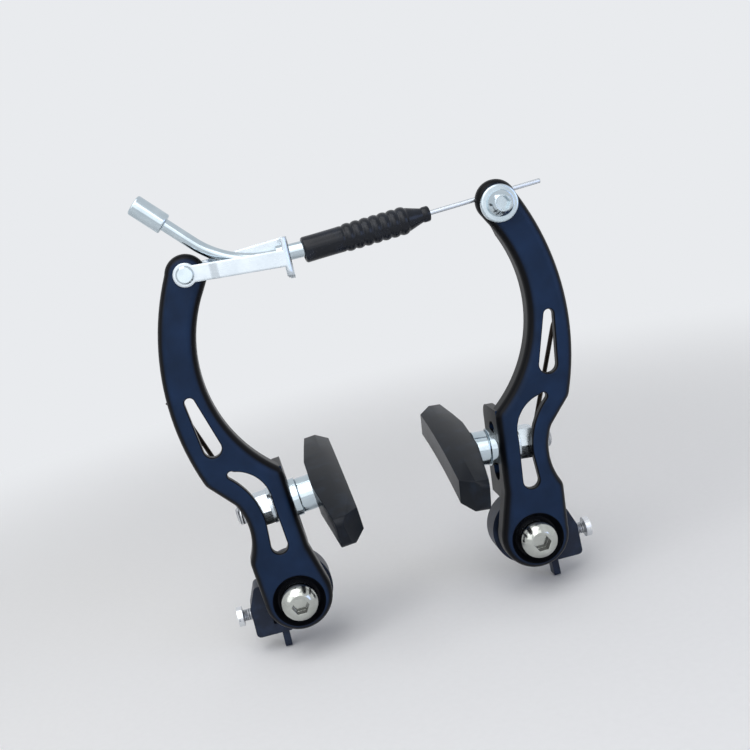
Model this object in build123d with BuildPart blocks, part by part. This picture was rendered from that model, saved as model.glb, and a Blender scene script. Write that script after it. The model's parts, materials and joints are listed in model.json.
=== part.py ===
# Linear-pull bicycle brake: two pressed arms on frame posts, pads, link, noodle, boot and cable.
# Frame: origin midway between the post axes in the plane of the post shoulders,
# +X to the viewer's right, +Y towards the frame, +Z up the arms. Sizes are in millimetres.
# A place on an arm is given as out (away from the other arm, from its pivot axis),
# up (from the pivot axis) and ahead (in front of the post shoulders).
import os
from math import acos, atan2, cos, degrees, hypot, radians, sin, sqrt, tan

from build123d import *

os.makedirs("parts", exist_ok=True)

# Overall layout
post_spacing = 80.0
post_x = post_spacing / 2
sides = {"left": -1, "right": 1}

# Fits and gaps
running_gap = 0.05
loose_gap = 0.15
body_gap = 0.4

# Pressed arm
front_ahead = 20.0
sheet = 2.6
edge_depth = 7.0
edge_round = 3.0
window_round = 0.6
base_radius = 11.2
base_rise = 0.8
base_end_angle = 2.0
pivot_solid_radius = 11.0
top_radius = 6.5
top_end_angle = 14.0
top_thickness = 3.6
top_cut_drop = 10.9
top_cut_ramp = 3.4
eye_out = 9.4
eye_up = 109.4
link_eye_rise = 0.2
anchor_eye_drop = 1.1
hip = (12.4, 15.6)
waist = (9.9, 25.5)
waist_top = (12.3, 35.2)
shoulder = (19.8, 43.4)
bow_outside = (25.0, 73.0)
bow_inside = (12.5, 78.7)
neck_in = 3.8
neck_drop = 6.4
flange_kink_out = -4.7
flange_kink_up = 43.6
flange_foot_up = 17.0
flange_lean = 5.0
hip_round = 4.5
waist_top_round = 7.0
shoulder_round = 5.0
kink_round = 3.6
foot_round = 9.0

# Windows in the arm's web
upper_window_top = (18.0, 70.9)
upper_window_top_radius = 1.6
upper_window_low = (14.7, 55.3)
upper_window_low_radius = 2.9
lower_foot_in = (-0.8, 19.6)
lower_bend_in = (0.6, 34.0)
lower_crown = (3.2, 42.3)
lower_tip_in = (10.2, 46.4)
lower_tip = (12.0, 46.4)
lower_tip_out = (11.9, 44.6)
lower_belly = (6.9, 38.2)
lower_bend_out = (4.1, 28.0)
lower_foot_out = (4.5, 19.4)
lower_bottom = (1.9, 16.8)

# Pad flange
flange_back_ahead = 1.0
flange_top_up = 44.2
flange_low_up = 13.5
flange_top_round = 2.5
flange_low_round = 4.0
slot_length = 20.0
slot_up = 29.5
slot_gap = 0.35
stud_up = 31.0
stud_ahead = 10.4
nut_relief_in = 5.0
nut_relief_gap = 0.9

# Pivot
bush_radius = 5.5
bush_bore = 4.1
bush_flange_radius = 7.5
bush_flange = 1.0
barrel_radius = 8.0
bolt_seat_ahead = 20.4
recess_depth = 2.3
recess_mouth_radius = 8.6
recess_floor_radius = 6.9
bolt_head_radius = 6.2
bolt_head_rim = 0.9
bolt_head_height = 4.2
bolt_crown_radius = 3.6
bolt_dome_slope = 3.2
bolt_socket = 5.0
bolt_socket_depth = 2.6
bolt_shank_radius = 2.9
bolt_tip_behind = 2.0
bolt_tip_chamfer = 0.8

# Spring housing and tension screw
cup_radius = 12.0
cup_wall = 1.6
cup_floor = 1.6
cup_front_ahead = 9.0
hub_gap = 0.1
hub_wall = 0.6
block_in = 4.0
block_out = 16.7
block_low = -13.4
block_top = 4.0
block_slope_out = 2.8
block_slope_up = 7.0
block_round = 1.5
lug_in = 6.1
lug_out = 8.4
lug_low = -19.4
lug_back_ahead = 3.0
lug_front_ahead = 7.0
screw_up = -5.8
screw_ahead = 5.4
screw_radius = 1.9
screw_tip_out = 8.7
screw_tip_chamfer = 0.4
screw_stand_off = 3.0
screw_head_radius = 3.3
screw_head = 1.8
screw_slot_width = 0.9
screw_slot_depth = 0.8

# Return spring
wire_radius = 0.75
coil_radius = 7.5
coil_back_ahead = 3.7
coil_front_ahead = 7.4
coil_half_turns = 4
leg_lean = 5.0
leg_bend_up = 31.4
leg_bend_round = 4.0
leg_hook = (21.0, 65.8, 11.9)
leg_end = (25.4, 71.8, 11.9)
short_leg = 7.0
leg_notch_out = 8.2
leg_notch_width = 4.4
short_pocket_out = 10.2
short_pocket_height = 10.0

# Pad and its stack of washers
pad_length = 66.0
pad_height = 10.5
pad_thickness = 11.0
pad_shift = 2.4
pad_rim_radius = 290.0
pad_tilt = 11.0
pad_corner = 2.5
pad_end_cut_length = 24.0
pad_end_cut_depth = 3.0
pad_nose_length = 6.3
pad_nose_depth = 6.0
pad_bevel = 4.2
pad_bevel_fall = 1.4
pad_stud_gap = 0.1
stud_radius = 2.95
stud_head_radius = 4.6
stud_head = 2.0
stud_head_inset = 2.0
stud_tail = 6.0
stud_chamfer = 0.6
washer_gap = 0.2
nest = 0.6
nest_rim = 0.6
spacer_radius = 5.7
spacer_length = 5.5
spacer_dome = 1.3
inner_cup_radius = 6.2
inner_cup = 2.2
outer_cup_radius = 5.6
outer_cup = 1.9
ball_radius = 5.0
ball_length = 2.6
ball_dome = 1.1
flat_washer_radius = 5.9
flat_washer = 1.1
nut_across = 10.0
nut_length = 5.2
nut_chamfer = 0.6

# Link that holds the noodle
link_sheet = 1.3
link_half_height = 2.6
link_eye_radius = 3.7
link_drop = 2.2
link_reach = 32.5
link_joggle_start = 7.6
link_joggle_run = 2.6
link_joggle_front = 0.9
link_joggle_rear = 2.4
link_fold_round = 1.5
link_wall_strip = 2.0
link_wall_rise = 5.0
link_tail = 7.9
link_tail_round = 3.0
link_hole_gap = 0.15
link_mouth = 2.4
rivet_radius = 2.0
rivet_head_radius = 2.8
rivet_head = 1.3
rivet_crown = 0.5

# Noodle
noodle_drop = 0.8
noodle_radius = 1.95
noodle_bore = 1.5
tip_reach = 7.9
noodle_straight = 13.5
noodle_bend_radius = 31.0
noodle_bend = 46.5
noodle_end_run = 21.0
tip_radius = 2.5
collar_radius = 2.9
collar_length = 2.6
ferrule_radius = 3.3
ferrule_length = 11.0
ferrule_round = 0.6
housing_socket_radius = 2.55
housing_socket_depth = 7.5
liner_radius = 1.4
liner_bore = 1.0
liner_start_angle = 6.0

# Boot
boot_overlap = 3.6
boot_sleeve_length = 13.2
boot_sleeve_radius = 4.05
boot_lip_round = 0.8
boot_ribs = 7
boot_rib_pitch = 2.9
boot_rib_radius = 4.4
boot_groove_radius = 3.8
boot_cone_length = 5.2
boot_tip_radius = 2.25
boot_bead_radius = 2.45
boot_bead = 2.3
boot_bore = 3.15
boot_tip_bore = 1.7

# Cable and its anchor
cable_radius = 0.75
cable_inside = 1.5
cable_mouth_rise = -0.3
cable_mouth_ahead = 0.2
cable_tail = 15.6
cable_back_gap = 0.35
cable_shank_gap = 0.2
anchor_shank_radius = 2.0
anchor_washer_radius = 5.9
anchor_washer = 1.5
anchor_washer_round = 0.5
anchor_head_radius = 4.1
anchor_head = 3.8
anchor_head_rim = 1.2
anchor_crown_radius = 2.5
anchor_dome_slope = 3.0
anchor_socket = 4.0
anchor_socket_depth = 1.8
clamp_radius = 5.2
clamp_thickness = 2.8
clamp_gap = 0.1
clamp_groove_gap = 0.7
anchor_nut_across = 7.0
anchor_nut = 3.2
anchor_tail = 1.0

# Places worked out from the sizes
web_back_ahead = front_ahead - sheet
edge_back_ahead = front_ahead - edge_depth
top_back_ahead = front_ahead - top_thickness
top_cut_up = eye_up - top_cut_drop
link_eye_up = eye_up + link_eye_rise
anchor_eye_up = eye_up - anchor_eye_drop
neck = (eye_out - neck_in, eye_up - neck_drop)
flange_run = (cos(radians(flange_lean)), sin(radians(flange_lean)))
flange_foot_out = flange_kink_out - (flange_kink_up - flange_foot_up) * tan(radians(flange_lean))
barrel_back_ahead = cup_front_ahead + body_gap
recess_floor_ahead = front_ahead - recess_depth
bolt_rim_ahead = bolt_seat_ahead + bolt_head_rim
bolt_top_ahead = bolt_seat_ahead + bolt_head_height
cup_back_ahead = bush_flange
cup_floor_ahead = cup_back_ahead + cup_floor
lug_height = block_low + block_round - lug_low
screw_head_x = post_x + block_out + screw_stand_off
coil_rise = (coil_front_ahead - coil_back_ahead) / coil_half_turns
coil_middle_radius = hypot(coil_radius, coil_rise / 2)
coil_end_out = coil_radius * cos(radians(leg_lean))
coil_end_up = -coil_radius * sin(radians(leg_lean))
leg_bend_out = coil_end_out + (leg_bend_up - coil_end_up) * tan(radians(leg_lean))
flange_inside_x = post_x + flange_kink_out - (flange_kink_up - stud_up) * tan(radians(flange_lean))
flange_outside_x = flange_inside_x + sheet
washer_bore = stud_radius + washer_gap
inner_cup_x = flange_inside_x - inner_cup
spacer_end_x = inner_cup_x + nest
spacer_x = spacer_end_x - spacer_length
pad_face_x = spacer_x - pad_thickness
pad_reach = pad_length / 2 * (1 + pad_height / 2 / pad_rim_radius)
outer_cup_x = flange_outside_x + outer_cup
ball_x = outer_cup_x - nest
flat_washer_x = ball_x + ball_length
nut_x = flat_washer_x + flat_washer
nut_end_x = nut_x + nut_length
stud_head_x = spacer_x - stud_head_inset
stud_end_x = nut_end_x + stud_tail
nut_relief_ahead = stud_ahead + nut_across / sqrt(3) + nut_relief_gap
nut_relief_reach = shoulder[0] - nut_relief_in
nut_drop = (nut_end_x - flange_inside_x) * flange_run[1]
rivet_x = -post_x - eye_out
anchor_x = post_x + eye_out
link_front_ahead = front_ahead + loose_gap
link_rear_ahead = top_back_ahead - loose_gap
link_wide_front = link_front_ahead + link_joggle_front
link_wide_rear = link_rear_ahead - link_joggle_rear
link_start_x = rivet_x - link_eye_radius - body_gap
link_joggle_x = rivet_x + link_joggle_start
link_end_x = rivet_x + link_reach
link_width = link_wide_front - link_wide_rear + 2 * link_sheet
rivet_front_ahead = link_front_ahead + link_sheet + running_gap
rivet_rear_ahead = link_rear_ahead - link_sheet - running_gap
noodle_ahead = (link_wide_front + link_wide_rear) / 2
noodle_up = link_eye_up - noodle_drop
noodle_mouth_x = link_end_x + tip_reach
noodle_bend_x = noodle_mouth_x - noodle_straight
boot_start_x = noodle_mouth_x - boot_overlap
cable_tail_x = anchor_x + cable_tail
cable_start = Vector(
    noodle_mouth_x,
    -noodle_ahead - cable_mouth_ahead,
    noodle_up + cable_mouth_rise,
)
cable_anchor = Vector(
    anchor_x,
    cable_back_gap + cable_radius - top_back_ahead,
    anchor_eye_up + anchor_shank_radius + cable_shank_gap + cable_radius,
)
cable_line = (cable_anchor - cable_start).normalized()
cable_side = cable_line.cross(Vector(0, 0, 1)).normalized()
anchor_head_ahead = front_ahead + anchor_washer
anchor_rim_ahead = anchor_head_ahead + anchor_head_rim
anchor_top_ahead = anchor_head_ahead + anchor_head
clamp_front_ahead = top_back_ahead - clamp_gap
clamp_back_ahead = clamp_front_ahead - clamp_thickness
clamp_groove_ahead = -cable_anchor.Y - cable_radius - loose_gap
anchor_nut_ahead = clamp_back_ahead - anchor_nut


def on_cable(x):
    """The point of the cable's straight line at a place along X."""
    return cable_start + cable_line * ((x - cable_start.X) / cable_line.X)


def facing(ahead):
    """A plane that faces the viewer, at a distance ahead of the post shoulders."""
    return Plane.XZ.offset(ahead)


def lathe_ahead(x, up):
    """A plane for profiles turned about an axis towards the viewer: radius, ahead."""
    return Plane(origin=(x, 0, up), x_dir=(1, 0, 0), z_dir=(0, 0, -1))


def lathe_out(sign, ahead, up):
    """A plane for profiles turned about an axis across the brake: distance from the middle, radius."""
    return Plane(origin=(0, -ahead, up), x_dir=(sign, 0, 0), z_dir=(0, -sign, 0))


def on_stud(sign, distance):
    """A point of one pad stud's axis, its distance taken from the middle along the stud."""
    past_flange = distance - flange_inside_x
    return Vector(
        sign * (flange_inside_x + past_flange * flange_run[0]),
        -stud_ahead,
        stud_up - past_flange * flange_run[1],
    )


def across_stud(sign, distance):
    """A plane square to one pad stud, centred on it: towards the frame, up the flange."""
    return Plane(
        origin=on_stud(sign, distance),
        x_dir=(0, 1, 0),
        z_dir=(flange_run[0], 0, -sign * flange_run[1]),
    )


def lathe_stud(sign):
    """A plane for profiles turned about one pad stud: distance from the middle, radius."""
    return Plane(
        origin=on_stud(sign, 0),
        x_dir=(sign * flange_run[0], 0, -flange_run[1]),
        z_dir=(0, -sign, 0),
    )


def round_point(centre, radius, angle):
    """A point on a circle given by its angle in degrees."""
    return (
        centre[0] + radius * cos(radians(angle)),
        centre[1] + radius * sin(radians(angle)),
    )


def touching(centre, radius, point, turn):
    """The point of a circle that a line from a point touches, to the left (1) or right (-1) of its centre."""
    across = point[0] - centre[0]
    along = point[1] - centre[1]
    towards = degrees(atan2(along, across))
    return round_point(centre, radius, towards + turn * degrees(acos(radius / hypot(across, along))))


def on_coil(sign, radius, angle, ahead):
    """A point of one return spring's coil, its angle taken from where the legs leave it."""
    turn = radians(angle - leg_lean)
    return Vector(sign * (post_x + radius * cos(turn)), -ahead, radius * sin(turn))


def pad_point(end, edge):
    """A point of the pad's side view: end from -1 at the viewer to 1, edge -1 low and 1 high."""
    angle = end * pad_length / 2 / pad_rim_radius
    reach = pad_rim_radius + edge * pad_height / 2
    return (reach * sin(angle), reach * cos(angle) - pad_rim_radius)


def on_bend(angle):
    """A point of the noodle's bend in the front view, after it has turned by an angle."""
    return (
        noodle_bend_x - noodle_bend_radius * sin(radians(angle)),
        noodle_up + noodle_bend_radius * (1 - cos(radians(angle))),
    )


def past_bend(distance):
    """A point of the noodle's end run in the front view, at a distance past the bend."""
    start = on_bend(noodle_bend)
    return (
        start[0] - distance * cos(radians(noodle_bend)),
        start[1] + distance * sin(radians(noodle_bend)),
    )


def arm_outline(sign):
    """The front view of one arm as a sketch, the left one a mirror image."""
    base = (0.0, base_rise)
    eye = (eye_out, eye_up)
    foot = (flange_foot_out, flange_foot_up)
    kink = (flange_kink_out, flange_kink_up)
    base_left = touching(base, base_radius, foot, 1)
    base_low = round_point(base, base_radius, -90)
    base_right = round_point(base, base_radius, base_end_angle)
    top_right = round_point(eye, top_radius, top_end_angle)
    top_middle = round_point(eye, top_radius, 90)
    top_left = touching(eye, top_radius, neck, -1)

    def place(point):
        return (post_x + point[0], point[1])

    with BuildSketch() as outline:
        with BuildLine():
            ThreePointArc(place(base_left), place(base_low), place(base_right))
            Line(place(base_right), place(hip))
            ThreePointArc(place(hip), place(waist), place(waist_top))
            Line(place(waist_top), place(shoulder))
            ThreePointArc(place(shoulder), place(bow_outside), place(top_right))
            ThreePointArc(place(top_right), place(top_middle), place(top_left))
            Line(place(top_left), place(neck))
            ThreePointArc(place(neck), place(bow_inside), place(kink))
            Line(place(kink), place(foot))
            Line(place(foot), place(base_left))
        make_face()
        corners = (
            (hip, hip_round),
            (waist_top, waist_top_round),
            (shoulder, shoulder_round),
            (kink, kink_round),
            (foot, foot_round),
        )
        for point, radius in corners:
            corner = outline.vertices().sort_by_distance(Vector(*place(point), 0))[0]
            fillet(corner, radius)
    if sign > 0:
        return outline.sketch
    return mirror(outline.sketch, about=Plane.YZ)


def block_view(sign):
    """The front view of the block beside one spring cup as a sketch."""
    with BuildSketch() as block:
        with BuildLine():
            Polyline(
                (sign * (post_x + block_in), block_low),
                (sign * (post_x + block_out), block_low),
                (sign * (post_x + block_out), block_top - block_slope_up),
                (sign * (post_x + block_out - block_slope_out), block_top),
                (sign * (post_x + block_in), block_top),
                close=True,
            )
        make_face()
        fillet(block.vertices(), block_round)
    return block.sketch


def arm_windows(sign):
    """The two openings through one arm's web as a sketch."""

    def place(point):
        return (sign * (post_x + point[0]), point[1])

    with BuildSketch() as upper:
        with Locations(place(upper_window_top)):
            Circle(upper_window_top_radius)
        with Locations(place(upper_window_low)):
            Circle(upper_window_low_radius)
        make_hull()
    with BuildSketch() as lower:
        with BuildLine():
            Line(place(lower_foot_in), place(lower_bend_in))
            ThreePointArc(place(lower_bend_in), place(lower_crown), place(lower_tip_in))
            ThreePointArc(place(lower_tip_in), place(lower_tip), place(lower_tip_out))
            ThreePointArc(place(lower_tip_out), place(lower_belly), place(lower_bend_out))
            Line(place(lower_bend_out), place(lower_foot_out))
            ThreePointArc(place(lower_foot_out), place(lower_bottom), place(lower_foot_in))
        make_face()
    return upper.sketch, lower.sketch


for side, sign in sides.items():
    pivot = (sign * post_x, 0.0)
    pivot_axis = Axis((sign * post_x, 0, 0), (0, -1, 0))
    stud_axis = Axis(on_stud(sign, 0), lathe_stud(sign).x_dir)
    outline = arm_outline(sign)
    upper_window, lower_window = arm_windows(sign)
    eye_x = sign * (post_x + eye_out)
    if side == "left":
        eye_height = link_eye_up
        eye_radius = rivet_radius + running_gap
    else:
        eye_height = anchor_eye_up
        eye_radius = anchor_shank_radius + running_gap

    # Arm: a tray of pressed sheet with a barrel at the pivot and a flange for the pad
    with BuildPart() as arm:
        with BuildSketch(facing(front_ahead)):
            add(outline)
        extrude(amount=-edge_depth)
        front_face = arm.faces().sort_by(Axis.Y)[0]
        fillet(front_face.outer_wire().edges(), edge_round)
        with BuildSketch(facing(edge_back_ahead)):
            add(outline)
            offset(amount=-sheet, mode=Mode.REPLACE)
            with Locations(pivot):
                Circle(pivot_solid_radius, mode=Mode.SUBTRACT)
            with Locations((sign * post_x, top_cut_up)):
                Rectangle(post_spacing, post_spacing, align=(Align.CENTER, Align.MIN), mode=Mode.SUBTRACT)
        extrude(amount=edge_depth - sheet, mode=Mode.SUBTRACT)
        with BuildSketch(Plane.YZ.offset(sign * post_x)):
            with BuildLine():
                Polyline(
                    (-edge_back_ahead, top_cut_up),
                    (-top_back_ahead, top_cut_up + top_cut_ramp),
                    (-top_back_ahead, eye_up + post_x),
                    (0, eye_up + post_x),
                    (0, top_cut_up),
                    close=True,
                )
            make_face()
        extrude(amount=post_x, both=True, mode=Mode.SUBTRACT)
        with BuildSketch(facing(front_ahead)):
            add(upper_window)
            add(lower_window)
        extrude(amount=-edge_depth, mode=Mode.SUBTRACT)
        front_face = arm.faces().sort_by(Axis.Y)[0]
        for wire in front_face.inner_wires():
            fillet(wire.edges(), window_round)
        with BuildSketch(across_stud(sign, flange_inside_x)) as flange:
            with BuildLine():
                Polyline(
                    (stud_ahead - web_back_ahead, flange_low_up - stud_up),
                    (stud_ahead - flange_back_ahead, flange_low_up - stud_up),
                    (stud_ahead - flange_back_ahead, flange_top_up - stud_up),
                    (stud_ahead - web_back_ahead, flange_top_up - stud_up),
                    close=True,
                )
            make_face()
            back_corners = flange.vertices().group_by(Axis.Y)[-1].sort_by(Axis.Z)
            fillet(back_corners[0], flange_low_round)
            fillet(back_corners[-1], flange_top_round)
        extrude(amount=sign * sheet)
        with BuildSketch(across_stud(sign, flange_inside_x)):
            with Locations((0, slot_up - stud_up)):
                SlotOverall(slot_length, 2 * (stud_radius + slot_gap), rotation=90)
        extrude(amount=sign * sheet, mode=Mode.SUBTRACT)
        with BuildSketch(facing(barrel_back_ahead)):
            with Locations(pivot):
                Circle(barrel_radius)
        extrude(amount=web_back_ahead - barrel_back_ahead)
        with BuildSketch(facing(barrel_back_ahead)):
            with Locations(pivot):
                Circle(bush_radius + running_gap)
        extrude(amount=edge_depth + front_ahead, mode=Mode.SUBTRACT)
        with BuildSketch(lathe_ahead(*pivot)):
            with BuildLine():
                Polyline(
                    (0, recess_floor_ahead),
                    (recess_floor_radius, recess_floor_ahead),
                    (recess_mouth_radius, front_ahead),
                    (recess_mouth_radius, bolt_rim_ahead),
                    (0, bolt_rim_ahead),
                    close=True,
                )
            make_face()
        revolve(axis=pivot_axis, mode=Mode.SUBTRACT)
        with BuildSketch(facing(edge_back_ahead)):
            with Locations((sign * (post_x + nut_relief_in), stud_up - nut_drop)):
                Rectangle(
                    nut_relief_reach,
                    nut_across + 2 * nut_relief_gap,
                    align=(Align.MIN if sign > 0 else Align.MAX, Align.CENTER),
                )
        extrude(amount=nut_relief_ahead - edge_back_ahead, mode=Mode.SUBTRACT)
        with BuildSketch(facing(edge_back_ahead)):
            with Locations((eye_x, eye_height)):
                Circle(eye_radius)
        extrude(amount=edge_depth, mode=Mode.SUBTRACT)
    arm.part.label = f"{side}_arm"
    export_step(arm.part, f"parts/{side}_arm.step")

    # Pivot bush: a sleeve that slips over the frame's post, with a flange at the back
    with BuildPart() as pivot_bush:
        with BuildSketch(lathe_ahead(*pivot)):
            with BuildLine():
                Polyline(
                    (bush_bore, 0),
                    (bush_flange_radius, 0),
                    (bush_flange_radius, bush_flange),
                    (bush_radius, bush_flange),
                    (bush_radius, bolt_seat_ahead),
                    (bush_bore, bolt_seat_ahead),
                    close=True,
                )
            make_face()
        revolve(axis=pivot_axis)
    pivot_bush.part.label = f"{side}_pivot_bush"
    export_step(pivot_bush.part, f"parts/{side}_pivot_bush.step")

    # Pivot bolt: a domed head with a hexagon socket
    with BuildPart() as pivot_bolt:
        with BuildSketch(lathe_ahead(*pivot)):
            with BuildLine():
                Polyline(
                    (bolt_crown_radius, bolt_top_ahead),
                    (0, bolt_top_ahead),
                    (0, -bolt_tip_behind),
                    (bolt_shank_radius - bolt_tip_chamfer, -bolt_tip_behind),
                    (bolt_shank_radius, bolt_tip_chamfer - bolt_tip_behind),
                    (bolt_shank_radius, bolt_seat_ahead),
                    (bolt_head_radius, bolt_seat_ahead),
                    (bolt_head_radius, bolt_rim_ahead),
                )
                TangentArc(
                    (bolt_head_radius, bolt_rim_ahead),
                    (bolt_crown_radius, bolt_top_ahead),
                    tangent=(-1, bolt_dome_slope),
                )
            make_face()
        revolve(axis=pivot_axis)
        with BuildSketch(facing(bolt_top_ahead)):
            with Locations(pivot):
                RegularPolygon(radius=bolt_socket / 2, side_count=6, major_radius=False)
        extrude(amount=-bolt_socket_depth, mode=Mode.SUBTRACT)
    pivot_bolt.part.label = f"{side}_pivot_bolt"
    export_step(pivot_bolt.part, f"parts/{side}_pivot_bolt.step")

    # Spring housing: a cup round the bush with a block for the tension screw
    with BuildPart() as spring_housing:
        with BuildSketch(facing(cup_back_ahead)):
            add(block_view(sign))
            with Locations(pivot):
                Circle(cup_radius)
                Circle(bush_radius + hub_gap, mode=Mode.SUBTRACT)
        extrude(amount=cup_front_ahead - cup_back_ahead)
        with BuildSketch(facing(cup_floor_ahead)):
            with Locations(pivot):
                Circle(cup_radius - cup_wall)
            with Locations((sign * (post_x + leg_notch_out), 0)):
                Rectangle(leg_notch_width, cup_radius, align=(Align.CENTER, Align.MIN))
            with Locations((sign * (post_x + short_pocket_out / 2), 0)):
                Rectangle(short_pocket_out, short_pocket_height, align=(Align.CENTER, Align.MAX))
            with Locations(pivot):
                Circle(bush_radius + hub_gap + hub_wall, mode=Mode.SUBTRACT)
        extrude(amount=cup_front_ahead - cup_floor_ahead, mode=Mode.SUBTRACT)
        with BuildSketch(Plane.YZ.offset(sign * (post_x + coil_radius))):
            with Locations((-screw_ahead, screw_up)):
                Circle(screw_radius + running_gap)
        extrude(amount=sign * block_out, mode=Mode.SUBTRACT)
        with BuildSketch(facing(lug_back_ahead)):
            with Locations((sign * (post_x + (lug_in + lug_out) / 2), lug_low)):
                Rectangle(lug_out - lug_in, lug_height, align=(Align.CENTER, Align.MIN))
        extrude(amount=lug_front_ahead - lug_back_ahead)
    spring_housing.part.label = f"{side}_spring_housing"
    export_step(spring_housing.part, f"parts/{side}_spring_housing.step")

    # Return spring: a coil in the housing, a long leg to the arm and a short leg at the screw
    leg_dir = Vector(sign * sin(radians(leg_lean)), 0, cos(radians(leg_lean)))
    coil_start = on_coil(sign, coil_radius, 0, coil_front_ahead)
    leg_start = on_coil(sign, coil_radius, 0, coil_back_ahead)
    with BuildPart() as return_spring:
        with BuildLine() as wire_path:
            Line(coil_start - leg_dir * short_leg, coil_start)
            for half_turn in range(coil_half_turns):
                angle = 180 * half_turn
                ahead = coil_front_ahead - half_turn * coil_rise
                ThreePointArc(
                    on_coil(sign, coil_radius, angle, ahead),
                    on_coil(sign, coil_middle_radius, angle + 90, ahead - coil_rise / 2),
                    on_coil(sign, coil_radius, angle + 180, ahead - coil_rise),
                )
            FilletPolyline(
                leg_start,
                (sign * (post_x + leg_bend_out), -coil_back_ahead, leg_bend_up),
                (sign * (post_x + leg_hook[0]), -leg_hook[2], leg_hook[1]),
                (sign * (post_x + leg_end[0]), -leg_end[2], leg_end[1]),
                radius=leg_bend_round,
            )
        with BuildSketch(Plane(origin=wire_path.line @ 0, z_dir=wire_path.line % 0)):
            Circle(wire_radius)
        sweep(path=wire_path.line)
    return_spring.part.label = f"{side}_return_spring"
    export_step(return_spring.part, f"parts/{side}_return_spring.step")

    # Tension screw: slotted head outside the block, tip at the spring's short leg
    with BuildPart() as tension_screw:
        with BuildSketch(lathe_out(sign, screw_ahead, screw_up)):
            with BuildLine():
                Polyline(
                    (post_x + screw_tip_out, 0),
                    (post_x + screw_tip_out, screw_radius - screw_tip_chamfer),
                    (post_x + screw_tip_out + screw_tip_chamfer, screw_radius),
                    (screw_head_x, screw_radius),
                    (screw_head_x, screw_head_radius),
                    (screw_head_x + screw_head, screw_head_radius),
                    (screw_head_x + screw_head, 0),
                    close=True,
                )
            make_face()
        revolve(axis=Axis((0, -screw_ahead, screw_up), (sign, 0, 0)))
        with BuildSketch(Plane.YZ.offset(sign * (screw_head_x + screw_head))):
            with Locations((-screw_ahead, screw_up)):
                Rectangle(2 * screw_head_radius, screw_slot_width)
        extrude(amount=-sign * screw_slot_depth, mode=Mode.SUBTRACT)
    tension_screw.part.label = f"{side}_tension_screw"
    export_step(tension_screw.part, f"parts/{side}_tension_screw.step")

    # Brake pad: a curved block along the rim, bevelled on the rim side, cut down at its ends
    behind_pad = across_stud(sign, pad_face_x)
    along_rim = behind_pad.x_dir * cos(radians(pad_tilt)) + behind_pad.y_dir * sin(radians(pad_tilt))
    pad_plane = Plane(
        origin=behind_pad.origin + along_rim * pad_shift,
        x_dir=along_rim,
        z_dir=behind_pad.z_dir,
    )
    rim_axis = Axis(pad_plane.origin - pad_plane.y_dir * pad_rim_radius, pad_plane.z_dir)
    with BuildPart() as brake_pad:
        with BuildSketch(pad_plane) as block:
            with BuildLine():
                ThreePointArc(pad_point(-1, 1), pad_point(0, 1), pad_point(1, 1))
                Line(pad_point(1, 1), pad_point(1, -1))
                ThreePointArc(pad_point(1, -1), pad_point(0, -1), pad_point(-1, -1))
                Line(pad_point(-1, -1), pad_point(-1, 1))
            make_face()
            fillet(block.vertices(), pad_corner)
        extrude(amount=sign * pad_thickness)
        with BuildSketch(Plane(pad_plane.origin, x_dir=pad_plane.z_dir, z_dir=-pad_plane.x_dir)):
            with BuildLine():
                Polyline(
                    (-sign * pad_bevel, 2 * pad_bevel_fall - pad_height / 2),
                    (-sign * pad_bevel, pad_height / 2 - 2 * pad_bevel_fall),
                    (sign * 2 * pad_bevel, pad_height / 2 + pad_bevel_fall),
                    (sign * 2 * pad_thickness, pad_height / 2 + pad_bevel_fall),
                    (sign * 2 * pad_thickness, -pad_height / 2 - pad_bevel_fall),
                    (sign * 2 * pad_bevel, -pad_height / 2 - pad_bevel_fall),
                    close=True,
                )
            make_face()
        revolve(axis=rim_axis, mode=Mode.INTERSECT)
        with BuildSketch(Plane(pad_plane.origin, x_dir=pad_plane.x_dir, z_dir=-pad_plane.y_dir)):
            with BuildLine():
                Polyline(
                    (pad_nose_length - pad_reach, 0),
                    (pad_reach - pad_nose_length, 0),
                    (pad_reach, sign * pad_nose_depth),
                    (pad_reach, sign * (pad_thickness - pad_end_cut_depth)),
                    (pad_reach - pad_end_cut_length, sign * pad_thickness),
                    (pad_end_cut_length - pad_reach, sign * pad_thickness),
                    (-pad_reach, sign * (pad_thickness - pad_end_cut_depth)),
                    (-pad_reach, sign * pad_nose_depth),
                    close=True,
                )
            make_face()
        extrude(amount=pad_height, both=True, mode=Mode.INTERSECT)
        with BuildSketch(lathe_stud(sign)):
            with BuildLine():
                Polyline(
                    (stud_head_x - stud_head - pad_stud_gap, 0),
                    (stud_head_x - stud_head - pad_stud_gap, stud_head_radius + pad_stud_gap),
                    (stud_head_x + pad_stud_gap, stud_head_radius + pad_stud_gap),
                    (stud_head_x + pad_stud_gap, stud_radius + pad_stud_gap),
                    (spacer_x, stud_radius + pad_stud_gap),
                    (spacer_x, 0),
                    close=True,
                )
            make_face()
        revolve(axis=stud_axis, mode=Mode.SUBTRACT)
    brake_pad.part.label = f"{side}_brake_pad"
    export_step(brake_pad.part, f"parts/{side}_brake_pad.step")

    # Pad stud: a head moulded in the pad and a threaded shank through the washers
    with BuildPart() as pad_stud:
        with BuildSketch(lathe_stud(sign)):
            with BuildLine():
                Polyline(
                    (stud_head_x - stud_head, 0),
                    (stud_head_x - stud_head, stud_head_radius),
                    (stud_head_x, stud_head_radius),
                    (stud_head_x, stud_radius),
                    (stud_end_x - stud_chamfer, stud_radius),
                    (stud_end_x, stud_radius - stud_chamfer),
                    (stud_end_x, 0),
                    close=True,
                )
            make_face()
        revolve(axis=stud_axis)
    pad_stud.part.label = f"{side}_pad_stud"
    export_step(pad_stud.part, f"parts/{side}_pad_stud.step")

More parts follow.
